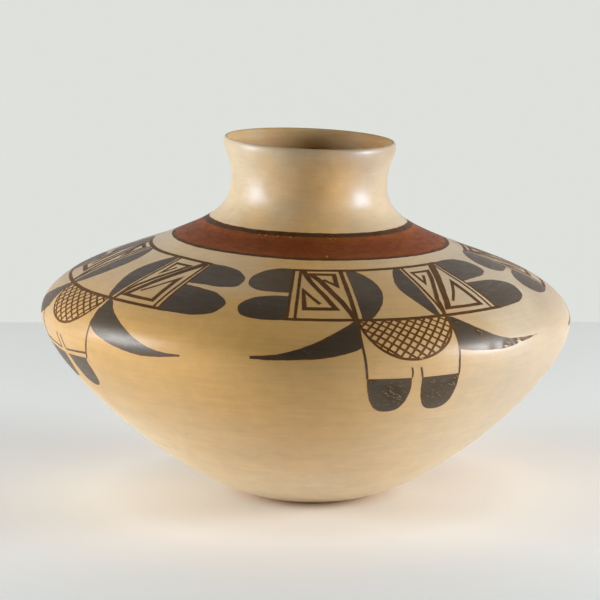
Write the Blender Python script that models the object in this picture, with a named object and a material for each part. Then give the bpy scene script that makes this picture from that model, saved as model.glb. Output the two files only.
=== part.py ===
"""Hand-built pottery jar with a wide, low shoulder and a short flared neck.

The jar is one piece of fired clay: coils of clay are laid on a moulded base, pinched together,
scraped thin, burnished and fired, so its foot, underside, shoulder, neck and lip are one wall.
The model turns that wall's outline round +Z and then lets it lean, as a jar built without a
wheel does. +X points to the low side of the mouth, and the origin is on the floor under the belly.
"""

import math

import bmesh
import bpy
from mathutils import Vector

MM = 0.001

# Outside of the wall: radii, and how far each stretch rises above the one below it
FOOT_RADIUS = 30.6 * MM
BELLY_RADIUS = 140.0 * MM
COLLAR_RADIUS = 92.4 * MM
NECK_RADIUS = 41.3 * MM
LIP_FLARE = 4.2 * MM
BELLY_RISE = 96.0 * MM
SHOULDER_RISE = 33.4 * MM
COLLAR_RISE = 38.1 * MM
THROAT_RISE = 19.1 * MM
LIP_CROWN = 2.4 * MM

# Slope of the wall, from level, where it leaves the foot and where the shoulder meets the collar
FOOT_SLOPE = math.radians(13.6)
COLLAR_SLOPE = math.radians(19.8)

# How full each stretch is: its two Bezier handles, as shares of the stretch's own run or rise
UNDERSIDE_SHARES = (0.428, 0.248)
SHOULDER_SHARES = (0.505, 0.359)
COLLAR_SHARES = (0.890, 0.420)
THROAT_SHARES = (0.540, 0.320)

# Thickness of the clay: thickest in the floor, thinnest at the lip
FLOOR_THICKNESS = 8.0 * MM
WALL_THICKNESS = 5.5 * MM
LIP_THICKNESS = 3.2 * MM

# How far the jar is out of true: the foot sits to one side, and the shoulder and the mouth lean
FOOT_OFFSET = 3.8 * MM
SHOULDER_LEAN = math.radians(1.29)
MOUTH_LEAN = math.radians(1.16)

# Points nearer than this share of the lip's thickness are one point
MERGE_SHARE = 0.001

# Facets round the jar, along each outside and inside stretch, and over the lip
FACETS_ROUND = 72
OUTSIDE_FACETS = (13, 10, 9, 4)
INSIDE_FACETS = (9, 7, 6, 3)
LIP_FACETS = 6

# Burnished clay, as seen on the unpainted underside
CLAY_COLOUR = (0.61, 0.42, 0.22, 1.0)
CLAY_ROUGHNESS = 0.38

BELLY_HEIGHT = BELLY_RISE
COLLAR_HEIGHT = BELLY_HEIGHT + SHOULDER_RISE
NECK_HEIGHT = COLLAR_HEIGHT + COLLAR_RISE
LIP_HEIGHT = NECK_HEIGHT + THROAT_RISE
CREST_HEIGHT = LIP_HEIGHT + LIP_CROWN
LIP_RADIUS = NECK_RADIUS + LIP_FLARE


def clear_scene():
    """Remove the objects that Blender starts with."""
    for obj in list(bpy.data.objects):
        bpy.data.objects.remove(obj, do_unlink=True)


def outside_stretches():
    """Return the four Bezier stretches of the outside, foot to lip, as (radius, height) points."""
    foot = Vector((FOOT_RADIUS, 0))
    belly = Vector((BELLY_RADIUS, BELLY_HEIGHT))
    collar = Vector((COLLAR_RADIUS, COLLAR_HEIGHT))
    neck = Vector((NECK_RADIUS, NECK_HEIGHT))
    lip = Vector((LIP_RADIUS, LIP_HEIGHT))
    upright = Vector((0, 1))
    along_foot = Vector((math.cos(FOOT_SLOPE), math.sin(FOOT_SLOPE)))
    along_collar = Vector((-math.cos(COLLAR_SLOPE), math.sin(COLLAR_SLOPE)))
    spread = BELLY_RADIUS - FOOT_RADIUS
    shoulder_run = BELLY_RADIUS - COLLAR_RADIUS
    collar_run = COLLAR_RADIUS - NECK_RADIUS
    return (
        (foot, foot + along_foot * spread * UNDERSIDE_SHARES[0],
         belly - upright * BELLY_RISE * UNDERSIDE_SHARES[1], belly),
        (belly, belly + upright * SHOULDER_RISE * SHOULDER_SHARES[0],
         collar - along_collar * shoulder_run * SHOULDER_SHARES[1], collar),
        (collar, collar + along_collar * collar_run * COLLAR_SHARES[0],
         neck - upright * COLLAR_RISE * COLLAR_SHARES[1], neck),
        (neck, neck + upright * THROAT_RISE * THROAT_SHARES[0],
         lip - upright * THROAT_RISE * THROAT_SHARES[1], lip),
    )


def bezier(stretch, share):
    """Return the point and the direction of a cubic Bezier at a share of its way."""
    start, leave, arrive, end = stretch
    rest = 1 - share
    point = (start * rest ** 3 + leave * 3 * rest ** 2 * share
             + arrive * 3 * rest * share ** 2 + end * share ** 3)
    heading = ((leave - start) * rest ** 2 + (arrive - leave) * 2 * rest * share
               + (end - arrive) * share ** 2)
    return point, heading.normalized()


def walk_outside(facets):
    """Return (point, direction) pairs up the outside, each stretch cut into its facets."""
    steps = []
    for stretch, count in zip(outside_stretches(), facets):
        first = 1 if steps else 0
        steps.extend(bezier(stretch, index / count) for index in range(first, count + 1))
    return steps


def thickness_at(height):
    """Return the wall's thickness: floor to belly, and neck to lip, it thins evenly."""
    if height < BELLY_HEIGHT:
        return FLOOR_THICKNESS + (WALL_THICKNESS - FLOOR_THICKNESS) * height / BELLY_HEIGHT
    if height < COLLAR_HEIGHT:
        return WALL_THICKNESS
    share = (height - COLLAR_HEIGHT) / (LIP_HEIGHT - COLLAR_HEIGHT)
    return WALL_THICKNESS + (LIP_THICKNESS - WALL_THICKNESS) * share


def inside_points():
    """Return the inside of the wall, lip to floor: the outside moved in by the thickness."""
    points = []
    for point, heading in walk_outside(INSIDE_FACETS):
        inward = Vector((-heading.y, heading.x))
        points.append(point + inward * thickness_at(point.y))
    return points[::-1]


def lip_points(outer, inner):
    """Return the rounded lip between two edges, as half an ellipse as high as the crown."""
    middle = (outer + inner) / 2
    half = (outer - inner) / 2
    points = []
    for index in range(1, LIP_FACETS):
        angle = math.pi * index / LIP_FACETS
        points.append(middle + half * math.cos(angle) + Vector((0, LIP_CROWN * math.sin(angle))))
    return points


def wall_outline():
    """Return the wall's whole outline, from the foot's edge over the lip to the floor inside."""
    outside = [point for point, heading in walk_outside(OUTSIDE_FACETS)]
    inside = inside_points()
    floor_centre = Vector((0, FLOOR_THICKNESS))
    return outside + lip_points(outside[-1], inside[0]) + inside + [floor_centre]


def lean(point):
    """Move a turned point to where the hand-built wall has it.

    The foot is offset towards +X and stays level. Up to the belly the wall takes on the
    shoulder's lean on a smooth S-curve, and above it the mouth's own lean is added with the
    square of the height.
    """
    settled = min(max(point.z / BELLY_HEIGHT, 0), 1)
    settled = settled * settled * (3 - 2 * settled)
    above = max(point.z - BELLY_HEIGHT, 0)
    raised = above / (CREST_HEIGHT - BELLY_HEIGHT)
    slope = math.tan(SHOULDER_LEAN) * settled + math.tan(MOUTH_LEAN) * raised ** 2
    drift = FOOT_OFFSET * (1 - settled) + above * math.tan(SHOULDER_LEAN)
    return Vector((point.x + drift, point.y, point.z - slope * point.x))


def clay_material():
    """Return the material of fired, burnished clay."""
    material = bpy.data.materials.new("fired_clay")
    material.use_nodes = True
    shader = material.node_tree.nodes["Principled BSDF"]
    shader.inputs["Base Color"].default_value = CLAY_COLOUR
    shader.inputs["Roughness"].default_value = CLAY_ROUGHNESS
    shader.inputs["Metallic"].default_value = 0
    return material


def turn_outline(bm, outline):
    """Spin an outline round +Z into a closed wall, with one flat face for the foot."""
    verts = [bm.verts.new((point.x, 0, point.y)) for point in outline]
    edges = [bm.edges.new(pair) for pair in zip(verts, verts[1:])]
    bmesh.ops.spin(bm, geom=verts + edges, axis=(0, 0, 1), cent=(0, 0, 0),
                   steps=FACETS_ROUND, angle=math.tau)
    merge_distance = LIP_THICKNESS * MERGE_SHARE
    bmesh.ops.remove_doubles(bm, verts=bm.verts, dist=merge_distance)
    foot_edges = [edge for edge in bm.edges if edge.is_boundary]
    bmesh.ops.edgeloop_fill(bm, edges=foot_edges)
    bmesh.ops.recalc_face_normals(bm, faces=bm.faces)


def make_vessel():
    """Make the jar: turn its outline, lean it and shade it smooth."""
    mesh = bpy.data.meshes.new("vessel")
    bm = bmesh.new()
    turn_outline(bm, wall_outline())
    for vert in bm.verts:
        vert.co = lean(vert.co)
    bm.to_mesh(mesh)
    bm.free()
    mesh.materials.append(clay_material())
    mesh.shade_smooth()
    vessel = bpy.data.objects.new("vessel", mesh)
    bpy.context.scene.collection.objects.link(vessel)


clear_scene()
make_vessel()
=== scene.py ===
"""Looks of a hand-built pottery jar: burnished clay, a red slip band and painted figures.

The jar's wall is one surface, read by how far round the jar a place is (turn) and how far up the
wall from the belly (arc). Every coat of paint is a thin piece laid on that surface.
"""

import math
from typing import NamedTuple

import bpy
import numpy as np
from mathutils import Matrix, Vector


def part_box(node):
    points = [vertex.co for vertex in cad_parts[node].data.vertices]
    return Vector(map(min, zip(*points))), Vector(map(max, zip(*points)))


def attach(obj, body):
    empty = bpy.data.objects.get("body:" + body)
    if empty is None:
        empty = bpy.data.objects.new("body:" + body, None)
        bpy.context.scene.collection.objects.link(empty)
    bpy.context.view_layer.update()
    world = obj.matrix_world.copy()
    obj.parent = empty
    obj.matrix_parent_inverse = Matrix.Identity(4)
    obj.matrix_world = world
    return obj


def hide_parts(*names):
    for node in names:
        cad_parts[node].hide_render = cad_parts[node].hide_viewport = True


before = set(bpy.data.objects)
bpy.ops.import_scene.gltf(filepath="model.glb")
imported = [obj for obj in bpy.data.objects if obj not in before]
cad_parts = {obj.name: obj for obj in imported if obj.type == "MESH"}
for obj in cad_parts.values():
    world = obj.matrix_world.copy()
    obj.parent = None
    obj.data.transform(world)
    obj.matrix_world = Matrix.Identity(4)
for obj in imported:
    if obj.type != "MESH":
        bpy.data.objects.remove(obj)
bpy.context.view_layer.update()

bl_info = {
    "name": "Painted pottery jar",
    "version": (1, 0, 0),
    "blender": (4, 5, 0),
    "location": "3D View > Sidebar > Jar",
    "description": "Builds a burnished clay jar with a slip band and brush-painted figures",
    "category": "Object",
}

MM = 0.001
BODY = "root"
JAR_LOW, JAR_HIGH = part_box("vessel")

# Fineness of the wall
ROUND_STEPS = 288
STRETCH_STEPS = (60, 40, 45, 15)
LIP_STEPS = 12
DISC_STEPS = 6
OUTLINE_SAMPLES = 900
SHARP_ANGLE = math.radians(35)

# Fineness of the coats: the step along them, the step below which an edge has no heading, the
# fewest and the most faces across, and the points that each edge has beyond its length
COAT_STEP = 1.3 * MM
LEAST_STEP = 1e-9
COAT_COLUMNS = (4, 22)
SPARE_POINTS = 8

# A coat stands this much proud of the wall, each next coat a little more, and its back is sunk.
# After a number of coats the heights begin again, so no coat stands higher than the top.
COAT_LIFT = 0.05 * MM
COAT_RISE = 0.002 * MM
COAT_HEIGHTS = 24
COAT_DEPTH = 0.12 * MM
COAT_TOP = 0.10 * MM

# How far an unsteady hand strays on a patch, a ring, a fret and a line, and how long its waves are
PATCH_TREMBLE = 0.14 * MM
RING_TREMBLE = 0.15 * MM
FRET_TREMBLE = 0.09 * MM
LINE_TREMBLE = 0.08 * MM
TREMBLE_WAVES = (22 * MM, 11 * MM, 6 * MM)

# How blunt a line's ends are, how nearly level two runs are that need no mitre, and how far a mitre
# may reach out, in half widths
BLUNT_END = 0.06
LEVEL_RUNS = 0.05
LONGEST_MITRE = 2.4

# How long a degree round the jar is in mm: on the shoulder, below it, and next to the belly
SHOULDER_DEGREE = 2.1
PATCH_DEGREE = 2.3
BELLY_DEGREE = 2.43

# Unevenness left by the potter's scraper: depth, waves round the jar, length up the wall, phase
RIPPLES = (
    (0.06 * MM, 3, 96 * MM, 0.4),
    (0.05 * MM, -5, 61 * MM, 2.1),
    (0.04 * MM, 9, 37 * MM, 4.0),
    (0.03 * MM, -14, 23 * MM, 1.2),
    (0.02 * MM, 22, 15 * MM, 5.3),
)
RIPPLE_FADE = 40 * MM

# Streaks in the clay and the paint: their length round the jar and their width up the wall
FINE_POLISH = (20.83 * MM, 1.1765 * MM)
BROAD_POLISH = (26.32 * MM, 6.25 * MM)
INNER_CLOUD = (71.43 * MM, 9.091 * MM)
DRY_BRUSH = (6.25 * MM, 1.923 * MM)
BRUSH_MARKS = (14.286 * MM, 3.846 * MM)

# Grain of the clay's mottle and of the drift that blows the fire clouds' edges about, and how far
# the drift reaches at most, both ways together
MOTTLE = 7.692 * MM
CLOUD_DRIFT = 71.43 * MM
CLOUD_BLOW = 80 * MM

# Rust specks: how far apart their cells are, a speck's radius, the share of the cells that have
# none, and how strong a speck's colour is
SPECK_SPACING = 6.667 * MM
SPECK_RADIUS = 0.3667 * MM
SPECKLESS = 0.82
SPECK_STRENGTH = 0.55


class JarSize(bpy.types.PropertyGroup):
    """Sizes of the jar's wall."""

    belly_radius: bpy.props.FloatProperty(
        name="Belly radius", description="Radius of the wall at its widest",
        default=(JAR_HIGH[1] - JAR_LOW[1]) / 2, unit="LENGTH")
    foot_radius: bpy.props.FloatProperty(
        name="Foot radius", description="Radius of the flat foot", default=30.6 * MM, unit="LENGTH")
    collar_radius: bpy.props.FloatProperty(
        name="Collar radius", description="Radius where the shoulder meets the collar",
        default=92.4 * MM, unit="LENGTH")
    neck_radius: bpy.props.FloatProperty(
        name="Neck radius", description="Radius of the neck at its waist",
        default=41.3 * MM, unit="LENGTH")
    lip_flare: bpy.props.FloatProperty(
        name="Lip flare", description="How far the lip stands out from the neck",
        default=4.2 * MM, unit="LENGTH")
    belly_rise: bpy.props.FloatProperty(
        name="Belly height", description="Height of the widest place", default=96.0 * MM, unit="LENGTH")
    shoulder_rise: bpy.props.FloatProperty(
        name="Shoulder rise", description="Rise from belly to collar", default=33.4 * MM, unit="LENGTH")
    collar_rise: bpy.props.FloatProperty(
        name="Collar rise", description="Rise from collar to neck", default=38.1 * MM, unit="LENGTH")
    throat_rise: bpy.props.FloatProperty(
        name="Throat rise", description="Rise from neck to lip", default=19.1 * MM, unit="LENGTH")
    lip_crown: bpy.props.FloatProperty(
        name="Lip crown", description="Height of the lip's rounded edge", default=2.38 * MM, unit="LENGTH")
    foot_slope: bpy.props.FloatProperty(
        name="Foot slope", description="Slope of the wall where it leaves the foot",
        default=math.radians(13.6), subtype="ANGLE")
    collar_slope: bpy.props.FloatProperty(
        name="Collar slope", description="Slope of the wall where it passes the collar",
        default=math.radians(19.8), subtype="ANGLE")
    floor_thickness: bpy.props.FloatProperty(
        name="Floor thickness", description="Thickness of the clay in the floor",
        default=8.0 * MM, unit="LENGTH")
    wall_thickness: bpy.props.FloatProperty(
        name="Wall thickness", description="Thickness of the clay from belly to collar",
        default=5.5 * MM, unit="LENGTH")
    lip_thickness: bpy.props.FloatProperty(
        name="Lip thickness", description="Thickness of the clay at the lip",
        default=3.2 * MM, unit="LENGTH")
    foot_offset: bpy.props.FloatProperty(
        name="Foot offset", description="How far the foot sits to the right of the belly's centre",
        default=3.8 * MM, unit="LENGTH")
    shoulder_lean: bpy.props.FloatProperty(
        name="Shoulder lean", description="Lean of the jar from the belly up",
        default=math.radians(1.29), subtype="ANGLE")
    mouth_lean: bpy.props.FloatProperty(
        name="Mouth lean", description="Further lean of the mouth", default=math.radians(1.16),
        subtype="ANGLE")


# How far each stretch's handles reach, as shares of its run or rise: underside, shoulder, collar
# and throat
HANDLE_SHARES = ((0.428, 0.248), (0.505, 0.359), (0.890, 0.420), (0.540, 0.320))


class Finish(bpy.types.PropertyGroup):
    """Colours of the clay and the paints."""

    buff: bpy.props.StringProperty(
        name="Buff clay", description="The clay's own colour, sRGB hex", default="#C5AF93")
    cream: bpy.props.StringProperty(
        name="Cream clay", description="Clay where the fire left it pale, sRGB hex", default="#FDECC8")
    gold: bpy.props.StringProperty(
        name="Golden clay", description="Clay where the fire turned it golden, sRGB hex", default="#FDC877")
    ochre: bpy.props.StringProperty(
        name="Ochre clay", description="Clay where the fire left it a darker ochre, sRGB hex",
        default="#CAA56E")
    polish_shine: bpy.props.StringProperty(
        name="Polish", description="Cool white that the polished clay shines in, sRGB hex",
        default="#CAE2FF")
    rust: bpy.props.StringProperty(
        name="Rust specks", description="Grains of iron in the clay, sRGB hex", default="#7A4A22")
    inner: bpy.props.StringProperty(
        name="Inner clay", description="Unpolished clay inside, sRGB hex", default="#E8C68E")
    inner_blush: bpy.props.StringProperty(
        name="Inner blush", description="Inner clay where the flame touched it, sRGB hex",
        default="#E2A85E")
    black: bpy.props.StringProperty(
        name="Black paint", description="Mineral paint laid on full, sRGB hex", default="#524533")
    brown: bpy.props.StringProperty(
        name="Thin paint", description="The same paint where the brush left it thin, sRGB hex",
        default="#6A3F18")
    ring_brown: bpy.props.StringProperty(
        name="Thin ring paint", description="Black paint where it thins out over the red slip, "
        "sRGB hex", default="#6A3A16")
    ring_black: bpy.props.StringProperty(
        name="Ring paint", description="The paint of the rings, sRGB hex", default="#4E3822")
    line_brown: bpy.props.StringProperty(
        name="Line paint", description="The paint as it is in narrow lines, sRGB hex",
        default="#64421E")
    thin_line: bpy.props.StringProperty(
        name="Thin line paint", description="Narrow lines along their rims, sRGB hex",
        default="#7A4D1C")
    red: bpy.props.StringProperty(
        name="Red slip", description="Iron-red clay slip, sRGB hex", default="#9C5522")
    dark_red: bpy.props.StringProperty(
        name="Thick red slip", description="The slip where it lies thick, sRGB hex", default="#884219")


# Clouds of colour that the fire left, and one pale patch round the foot that is painted light, lifting
# the shaded clay there: centre, inner and outer radius in metres, colour, strength
FIRE_CLOUDS_AND_PAINTED_LIGHT = (
    ((-0.042, -0.105, 0.067), 0.062, 0.164, "gold", 1.0),
    ((-0.099, -0.063, 0.064), 0.018, 0.098, "ochre", 0.66),
    ((-0.043, -0.026, 0.139), 0.042, 0.089, "cream", 0.52),
    ((-0.077, 0.001, 0.019), 0.035, 0.115, "cream", 0.8),
    ((-0.003, -0.057, 0.166), 0.016, 0.044, "gold", 0.95),
    ((0.033, -0.037, -0.007), 0.017, 0.176, "cream", 0.64),
    ((0.080, -0.057, 0.138), 0.043, 0.064, "cream", 0.34),
    ((0.060, 0.120, 0.080), 0.030, 0.150, "gold", 0.8),
    ((0.010, 0.145, 0.100), 0.010, 0.070, "ochre", 0.6),
    # Painted light, not fire: this pale patch lifts the shaded clay just above the foot
    ((0.006, -0.020, 0.000), 0.035, 0.075, "cream", 0.5),
)


class Figure(NamedTuple):
    """One painted figure, and how the painter's hand made it differ from the others.

    Its middle is in degrees round the jar. Each wing has a shift outwards in degrees, the degrees
    over which that comes in, a stretch, and a droop in mm at 30 degrees out. The half moon has a
    middle and a half width in degrees, a depth in mm, and a scale for its hatching. The tail has a
    shift, and its stems bulge out, both in degrees.
    """

    name: str
    middle: float
    left_wing: tuple
    right_wing: tuple
    moon: tuple
    left_horn: tuple
    right_horn: tuple
    stem_bulge: float
    tail_shift: float
    banded_tail: bool


# A figure's points are degrees from its middle, to the right, and mm up the wall from the belly
BAND_TOP = 71.1
BAND_FOOT = 25.4

# Where the wings' droop is measured, in degrees from the middle
DROOP_TURN = 30

# Lines along the top and the foot of the panels
BAND_LINES = (
    ((-28.9, BAND_TOP), (-14.0, BAND_TOP), (0.0, 70.9), (14.0, 71.3), (28.8, 71.5)),
    ((-28.9, BAND_FOOT), (-14.0, BAND_FOOT), (0.0, 25.2), (14.0, 25.85), (28.8, 26.3)),
)
BAND_WIDTH = 2.0

# Wing lobes: from one corner at the root, round the tip, to the other corner
LOBES = (
    ((-28.1, 72.1), (-34.0, 71.8), (-38.3, 68.4), (-41.3, 61.5), (-40.6, 53.8), (-37.0, 49.1),
     (-32.5, 48.2), (-28.1, 48.0)),
    ((-28.1, 44.8), (-33.5, 44.3), (-38.0, 40.8), (-40.3, 33.8), (-39.0, 27.4), (-35.3, 24.8),
     (-28.1, 24.5)),
    ((28.4, 72.0), (36.5, 72.0), (42.0, 69.9), (46.1, 62.8), (45.4, 56.0), (41.0, 52.5),
     (34.0, 51.8), (27.8, 51.2)),
    ((27.7, 49.2), (35.0, 48.2), (41.2, 45.5), (45.1, 38.6), (43.5, 31.3), (38.0, 26.6),
     (33.0, 25.8), (27.0, 25.2)),
)

LEFT_LEAF = (
    ((-10.3, 71.0), (-10.5, 48.0), (-10.7, 25.3)),
    ((-7.6, 71.0), (-4.4, 65.0), (-2.6, 58.5), (-2.2, 52.0), (-2.9, 45.0), (-4.3, 38.0),
     (-5.6, 33.5), (-7.2, 29.0), (-8.9, 25.3)),
)
RIGHT_LEAF = (
    ((10.3, 71.0), (9.7, 48.0), (8.8, 25.3)),
    ((8.0, 71.0), (6.1, 66.5), (4.5, 61.0), (3.6, 55.5), (3.5, 50.0), (4.1, 44.5),
     (5.0, 39.0), (5.9, 34.2), (6.7, 29.8), (7.9, 25.3)),
)

# Each fret is a brush line with mitred corners: its corners, and the width of each run in mm
FRETS = (
    (((-18.4, 61.8), (-14.8, 55.4), (-14.7, 67.0), (-22.4, 67.2), (-19.3, 60.0), (-16.9, 50.0),
      (-14.5, 40.0), (-12.3, 25.4)), (1.7, 2.4, 2.1, 3.0, 3.2, 2.9, 2.7)),
    (((-25.0, 71.0), (-23.1, 62.0), (-21.0, 54.0), (-18.9, 46.0), (-16.4, 34.2), (-24.1, 34.2),
      (-24.5, 50.6), (-20.2, 38.4)), (2.8, 2.4, 2.5, 2.6, 2.7, 2.5, 2.1)),
    (((16.3, 61.8), (13.6, 54.2), (13.4, 65.3), (20.6, 65.6), (15.0, 50.0), (11.9, 39.5),
      (10.0, 25.6)), (1.6, 1.8, 1.8, 2.3, 2.3, 2.2)),
    (((25.9, 71.0), (23.1, 64.5), (19.4, 55.0), (16.1, 45.0), (12.5, 30.8), (23.3, 31.0),
      (23.4, 52.6), (16.0, 36.2)), (4.2, 3.7, 3.5, 3.3, 2.2, 2.7, 1.5)),
)

# Upright lines of the panels: top and foot in degrees, and the width in mm
PANEL_LINES = (
    (-12.1, -12.1, 2.2),
    (-25.8, -26.2, 1.5),
    (-28.1, -28.0, 1.4),
    (11.4, 10.0, 1.4),
    (26.9, 25.4, 1.4),
    (28.4, 27.1, 1.3),
)

# Horns: the upper and the lower edge, from the root to the tip
LEVEL_HORN = (
    ((-11.9, 25.3), (-13.2, 23.8), (-14.5, 21.4), (-17.5, 16.4), (-20.5, 12.1), (-23.5, 8.6),
     (-27.5, 5.2), (-31.0, 3.5), (-34.9, 2.6)),
    ((-12.0, 7.8), (-14.5, 5.4), (-17.5, 3.6), (-20.5, 2.4), (-23.5, 1.8), (-27.5, 1.3),
     (-31.0, 1.0), (-34.9, 1.2)),
)
WORN_HORN = (
    ((9.7, 25.3), (11.6, 23.9), (13.0, 21.4), (14.5, 18.4), (17.5, 13.4), (20.5, 9.3),
     (23.5, 7.1), (27.5, 5.9), (34.2, 5.5)),
    ((9.7, 4.5), (12.0, 3.6), (16.5, 2.5), (20.5, 1.9), (24.5, 2.4), (28.5, 3.8), (34.2, 5.1)),
)
DROOPING_HORN = (
    ((11.4, 25.3), (12.9, 24.3), (15.0, 20.0), (18.0, 15.4), (21.0, 11.3), (24.0, 7.4),
     (27.0, 4.1), (30.0, 1.6), (33.0, 0.3), (35.5, 0.1), (37.5, 0.1)),
    ((11.4, 7.7), (14.0, 4.0), (17.0, 1.4), (20.0, -0.6), (24.0, -2.3), (27.0, -3.2),
     (30.0, -3.1), (33.0, -2.3), (37.5, -0.9)),
)


def mirrored(horn):
    """Return a horn for the other side of its figure."""
    return tuple(tuple((-turn, arc) for turn, arc in edge) for edge in horn)


# Tail feathers: from the outer top corner, round the end, to the inner top corner
TAIL_FEATHERS = (
    ((-11.0, -8.6), (-10.7, -15.0), (-10.3, -20.0), (-9.5, -25.0), (-8.4, -29.0), (-6.8, -31.0),
     (-4.8, -31.2), (-3.2, -29.9), (-2.2, -27.0), (-1.4, -22.0), (-1.0, -16.0), (-1.2, -8.9)),
    ((9.9, -8.2), (10.1, -13.0), (10.1, -20.0), (9.7, -25.5), (8.8, -29.4), (7.0, -31.3),
     (4.9, -31.1), (3.4, -29.2), (2.4, -25.0), (1.7, -20.5), (1.4, -16.0), (1.1, -8.9)),
)
# On a banded tail a line closes the stems, and the feathers start lower: outer and inner arc. The
# line reaches a little past each feather, which moves out by a share of the stems' bulge.
TAIL_BAND = (-9.0, -11.3)
BANDED_FEATHER_TOP = (-12.3, -14.0)
TAIL_BAND_WIDTH = 1.2
TAIL_BAND_SPAN = 1.06
FEATHER_SPREAD = 0.3

# Stems of the tail: their points, the share of the bulge at each, and their width in mm. Points
# whose share is above LEAST_FIXED stay where they are when the tail shifts.
STEMS = (
    (((-12.0, 22.0), (-12.0, 11.0), (-11.4, 1.0), (-10.9, -9.0)), (0.5, 1.0, 1.0, 0.2), 1.2),
    (((10.0, 18.0), (9.8, 8.0), (9.6, 0.0), (9.9, -9.0)), (0.6, 1.0, 1.0, 0.3), 1.1),
    (((-1.5, -2.6), (-1.2, -5.5), (-1.2, -9.0)), (0, 0, 0), 0.9),
    (((0.5, -2.8), (0.9, -6.0), (1.2, -9.2)), (0, 0, 0), 1.0),
)
LEAST_FIXED = 0.4

FIGURES = (
    Figure("front", 23.5, (0.0, 4, 1.0, 0.0), (0.0, 4, 1.0, 0.0), (-0.8, 11.0, 24.2, 1.0),
           LEVEL_HORN, WORN_HORN, 0.0, 0.0, False),
    Figure("left", -64.0, (2.2, 2.4, 0.93, -0.6), (3.3, 8, 0.898, 1.8), (-0.4, 11.0, 21.6, 1.08),
           mirrored(DROOPING_HORN), DROOPING_HORN, 2.0, -1.1, True),
    Figure("right", 113.8, (0.0, 4, 0.99, 0.4), (0.8, 4, 0.97, 0.3), (0.3, 10.8, 23.0, 1.1),
           LEVEL_HORN, mirrored(LEVEL_HORN), 0.4, 0.3, False),
    Figure("back", 205.0, (1.2, 4, 0.96, 0.8), (0.6, 4, 0.98, -0.5), (0.0, 11.2, 22.5, 1.15),
           mirrored(DROOPING_HORN), mirrored(LEVEL_HORN), 1.2, 0.4, True),
)

# The half moon's two sets of lines: slope from level, spacing in mm, and shift across in mm.
# Lines shorter than a share of the spacing are left out.
HATCH = ((math.radians(-34), 3.8, -0.3), (math.radians(48), 3.6, 1.3))
HATCH_WIDTH = 1.1
SHORTEST_HATCH = 0.6
MOON_RIM_WIDTH = 1.3
MOON_POINTS = 15

# Scratches in worn paint: how they slant, and their size round the jar, into it and up the wall
SCRATCH_SLANT = math.radians(40)
SCRATCH_SIZE = (2.6 * MM, 2.6 * MM, 0.6 * MM)

# Rings round the collar: each edge as mm up the wall and how far it tilts down to the right. They
# drift up and down by so many mm in two slow waves, and by a share of that in five quick ones.
RED_BAND = ((82.6, 1.5), (102.4, 0.3))
UPPER_RING = ((101.0, 0.2), (104.9, 0.2))
LOWER_RING = ((81.4, 1.6), (83.8, 1.5))
RING_STEPS = 3 * ROUND_STEPS
RING_DRIFT = 0.2
QUICK_DRIFT = 0.7

# Spots where the paint has worn: degrees round the jar, mm up the wall, reach in mm and amount
WORN_SPOTS = (
    (42.0, 3.0, 3.4, 0.07), (46.5, 2.8, 3.2, 0.22), (50.5, 4.2, 3.6, 0.25),
    (56.5, 5.4, 4.5, 0.24), (39.5, 13.0, 2.6, 0.09), (35.0, 21.0, 2.4, 0.10),
    (17.5, -19.0, 14.0, 0.055), (29.5, -19.0, 14.0, 0.055), (18.4, -17.2, 3.0, 0.10),
    (19.8, -22.0, 2.4, 0.10), (32.6, -13.3, 2.0, 0.13), (33.2, -9.6, 1.8, 0.12), (13.6, -9.2, 2.2, 0.08),
    (24.0, 1.4, 1.8, 0.22), (17.2, 5.6, 1.6, 0.14),
    (-27.0, 102.2, 2.2, 0.14), (-23.0, 102.0, 1.6, 0.20), (-16.0, 102.0, 1.8, 0.22),
    (-9.0, 101.8, 1.8, 0.22), (11.0, 102.2, 1.6, 0.20), (14.0, 101.0, 2.0, 0.14),
    (40.0, 101.6, 1.8, 0.16), (8.0, 84.6, 1.8, 0.18), (118.0, 8.0, 3.0, 0.16),
    (208.0, 12.0, 3.4, 0.16), (160.0, 102.2, 2.2, 0.22), (243.0, 102.2, 2.0, 0.22),
)


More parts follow.
